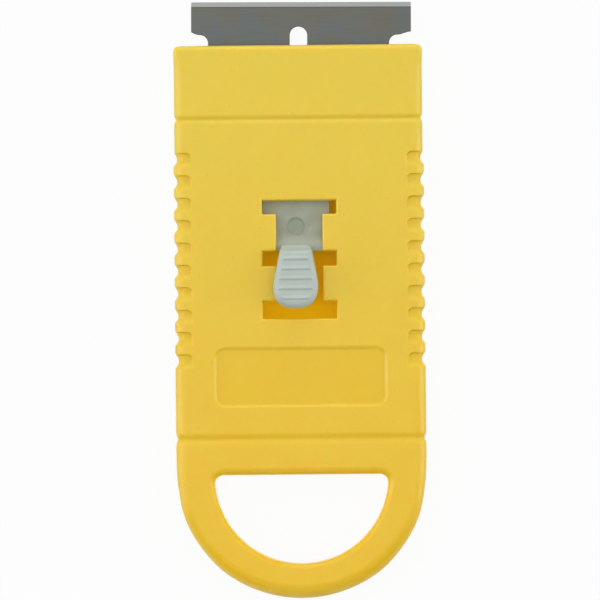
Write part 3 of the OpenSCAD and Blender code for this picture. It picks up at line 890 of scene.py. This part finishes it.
def grey_plastic(name, colour, dull, end, highlight_from, highlight_to):
    """Grey plastic with duller clouds that turns to a paler grey along Y, a painted highlight, and is darker
    in the dimple, which is painted shade.
    """
    m = Nodes(name)
    cloud = m.spread(m.noise(2.2, 3.0), 0.35, 0.65)
    base = m.mix(m.times(cloud, 0.6), colour, dull)
    # Painted highlight: a paler grey along Y
    along = m.spread(m.axis("Y"), highlight_from * MM, highlight_to * MM)
    base = m.mix(along, base, end)
    # Painted shade: darker in the dimple.
    base = m.mix(m.times(m.measure(), 0.7), base, DIMPLE_PAINTED_SHADE)
    m.put(m.shader.inputs["Base Color"], base)
    m.put(m.shader.inputs["Roughness"], m.spread(m.noise(1.2, 4.0), 0.3, 0.7, 0.36, 0.5))
    m.put(m.shader.inputs["IOR"], PLASTIC_IOR)
    wave = m.bump(m.noise(2.5, 2.0), 0.03, 0.5)
    m.put(m.shader.inputs["Normal"], m.bump(m.noise(0.16, 2.0), 0.005, 0.6, wave))
    return m.material


def blade_steel(name):
    """Rolled steel with streaks across the blade, brown and blue blotches and a paler ground bevel."""
    m = Nodes(name)
    streak = m.noise(0.12, 3.0, (30, 1, 1))
    blotch = m.spread(m.noise(3.6, 3.0, (1.2, 1, 1)), 0.4, 0.62)
    blue = m.spread(m.noise(6.5, 2.0), 0.44, 0.62)
    base = m.mix(m.times(blotch, 0.6), BLADE_GREY, BLADE_BROWN)
    base = m.mix(m.times(blue, 0.55), base, BLADE_BLUE)
    base = m.mix(m.spread(streak, 0.3, 0.7, 0.0, 0.22), base, BLADE_STREAK)
    behind = m.measure()
    base = m.mix(m.spread(behind, BEVEL_L + BEVEL_LINE_L, BEVEL_L), base, BEVEL_LINE)
    base = m.mix(m.spread(behind, BEVEL_L + BEVEL_SOFT, BEVEL_L - BEVEL_SOFT), base, BEVEL_GREY)
    m.put(m.shader.inputs["Base Color"], base)
    m.put(m.shader.inputs["Metallic"], 1.0)
    m.put(m.shader.inputs["Roughness"], m.spread(streak, 0.3, 0.7, 0.32, 0.44))
    m.put(m.shader.inputs["Normal"], m.bump(streak, 0.003, 0.4))
    return m.material


def spine_steel(name):
    """Brighter sheet steel with finer streaks."""
    m = Nodes(name)
    streak = m.noise(0.1, 3.0, (60, 1, 1))
    blotch = m.spread(m.noise(2.0, 3.0), 0.35, 0.65)
    base = m.mix(blotch, SPINE_LIGHT, SPINE_DARK)
    m.put(m.shader.inputs["Base Color"], base)
    m.put(m.shader.inputs["Metallic"], 1.0)
    m.put(m.shader.inputs["Roughness"], m.spread(streak, 0.3, 0.7, 0.28, 0.42))
    m.put(m.shader.inputs["Normal"], m.bump(streak, 0.004, 0.5))
    return m.material


def dress(piece, material, slot=None):
    """Gives a new piece its material as its only one, or a CAD node its material in each slot. The slot name
    only tells the two apart.
    """
    if slot is None:
        for place in piece.material_slots:
            place.material = material
    else:
        piece.data.materials.clear()
        piece.data.materials.append(material)


dress(shells["front_shell"], yellow_plastic("front_yellow"), "front_plastic")
dress(shells["rear_shell"], yellow_plastic("rear_yellow"), "rear_plastic")
# The carrier and the tongue: the tab's plastic darkened as painted shade, with a painted highlight on the bar
carrier_shade_and_highlight = grey_plastic(
    "carrier_shade_and_highlight", CARRIER_SHADED_GREY, CARRIER_SHADED_DULL, BAR_PAINTED_HIGHLIGHT, BAR_PAINTED_HIGHLIGHT_FROM, BAR_PAINTED_HIGHLIGHT_TO)
dress(tongue_piece, carrier_shade_and_highlight, "carrier_plastic")
dress(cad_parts["blade_carrier"], carrier_shade_and_highlight)
# The tab, with a painted highlight on its neck's front
tab_grey_with_highlight = grey_plastic(
    "tab_grey_with_highlight", TAB_GREY, TAB_DULL, TAB_FOOT_PAINTED_HIGHLIGHT, TAB_FOOT_HIGHLIGHT_FROM, TAB_FOOT_HIGHLIGHT_TO)
dress(tab_piece, tab_grey_with_highlight, "tab_plastic")
dress(blade_piece, blade_steel("blade_rolled"), "blade_steel")
dress(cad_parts["blade_spine"], spine_steel("spine_folded"))


# The photograph is 600 pixels wide and high. The blade's width gives its scale.
IMAGE_PX = 600
PX_PER_MM = 5.787
LEAN = math.radians(0.56)
AIM = (0.01, 0.05)
DISTANCE = 1.5
SENSOR = 36.0
CLIP_START = 0.1
CLIP_END = 10.0
camera_data = bpy.data.cameras.new("camera")
camera = bpy.data.objects.new("camera", camera_data)
bpy.context.scene.collection.objects.link(camera)
camera_data.sensor_width = SENSOR
camera_data.lens = SENSOR * DISTANCE / (IMAGE_PX / PX_PER_MM * MM)
camera_data.clip_start = CLIP_START
camera_data.clip_end = CLIP_END
camera.location = (AIM[0] * MM, AIM[1] * MM, THICK * MM + DISTANCE)
camera.rotation_euler = (0, 0, -LEAN)
bpy.context.scene.camera = camera


def area_lamp(name, place, aim, size, power):
    """A square lamp that faces a point."""
    data = bpy.data.lights.new(name, "AREA")
    data.shape = "SQUARE"
    data.size = size
    data.energy = power
    lamp = bpy.data.objects.new(name, data)
    bpy.context.scene.collection.objects.link(lamp)
    lamp.location = place
    lamp.rotation_mode = "QUATERNION"
    lamp.rotation_quaternion = (Vector(aim) - Vector(place)).to_track_quat("-Z", "Y")


# The floor's share of white leaves a little of the object's shadow to be seen.
FLOOR_HALF = 3.0
FLOOR_GAP = 0.00005
FLOOR_GREY = (0.62, 0.62, 0.62, 1)
FLOOR_WHITE_SHARE = 0.95


def white_stage():
    """A pale floor that the camera sees as white, with the object's shadow kept."""
    corners = [(x * FLOOR_HALF, y * FLOOR_HALF, 0) for x, y in ((-1, -1), (1, -1), (1, 1), (-1, 1))]
    mesh = bpy.data.meshes.new("floor")
    mesh.from_pydata(corners, [], [(0, 1, 2, 3)])
    floor = bpy.data.objects.new("floor", mesh)
    floor.location.z = -FLOOR_GAP
    bpy.context.scene.collection.objects.link(floor)
    material = bpy.data.materials.new("floor_white")
    material.use_nodes = True
    t = Tree(material.node_tree)
    t.tree.nodes.clear()
    path = t.add("ShaderNodeLightPath").outputs
    seen = t.math("MAXIMUM", path["Is Camera Ray"], path["Is Glossy Ray"])
    pale = t.add("ShaderNodeBsdfDiffuse", {"Color": FLOOR_GREY}).outputs[0]
    white = t.add("ShaderNodeEmission").outputs[0]
    share = t.times(seen, FLOOR_WHITE_SHARE)
    blend = t.add("ShaderNodeMixShader", {0: share, 1: pale, 2: white}).outputs[0]
    t.add("ShaderNodeOutputMaterial", {"Surface": blend})
    mesh.materials.append(material)


# The world's light by its direction. Each Y or Z pair is a range of that part of the unit direction.
SCREEN_LEVEL = 4.6
SCREEN_POWER = 4.0
SCREEN_Z = (0.3, 0.85)
SKY_LEVELS = (0.55, 1.45)
SKY_Z = (0.35, 0.9)
LOOP_SIDE_LEVEL = 0.25
LOOP_SIDE_Y = (-0.75, 0.1)
MOUTH_SIDE_LEVEL = 0.66
MOUTH_SIDE_Y = (0.15, 1.0)


def soft_world():
    """Soft light from above and from a broad upright screen on each side but the loop's."""
    world = bpy.data.worlds.new("soft_world")
    bpy.context.scene.world = world
    world.use_nodes = True
    t = Tree(world.node_tree)
    t.tree.nodes.clear()
    toward = t.add("ShaderNodeSeparateXYZ", {0: t.add("ShaderNodeTexCoord").outputs["Generated"]}).outputs
    across = t.times(toward["X"], toward["X"])
    along = t.times(toward["Y"], toward["Y"])
    turned = t.math("DIVIDE", t.math("SUBTRACT", across, along), t.math("ADD", across, along))
    screen = t.math("POWER", t.math("ABSOLUTE", turned), SCREEN_POWER)
    screen = t.times(screen, t.spread(toward["Z"], *SCREEN_Z, SCREEN_LEVEL, 0.0))
    level = t.math("ADD", screen, t.spread(toward["Z"], *SKY_Z, *SKY_LEVELS))
    level = t.times(level, t.spread(toward["Y"], *LOOP_SIDE_Y, LOOP_SIDE_LEVEL, 1.0))
    level = t.times(level, t.spread(toward["Y"], *MOUTH_SIDE_Y, 1.0, MOUTH_SIDE_LEVEL))
    sky = t.add("ShaderNodeBackground", {"Strength": level}).outputs[0]
    white = t.add("ShaderNodeBackground").outputs[0]
    seen = t.add("ShaderNodeLightPath").outputs["Is Camera Ray"]
    blend = t.add("ShaderNodeMixShader", {0: seen, 1: sky, 2: white}).outputs[0]
    t.add("ShaderNodeOutputWorld", {"Surface": blend})


area_lamp("key", place=(-0.42, 0.15, 0.8), aim=(0, 0, 0), size=0.6, power=0.9)
white_stage()
soft_world()
bpy.context.scene.view_settings.view_transform = "Standard"
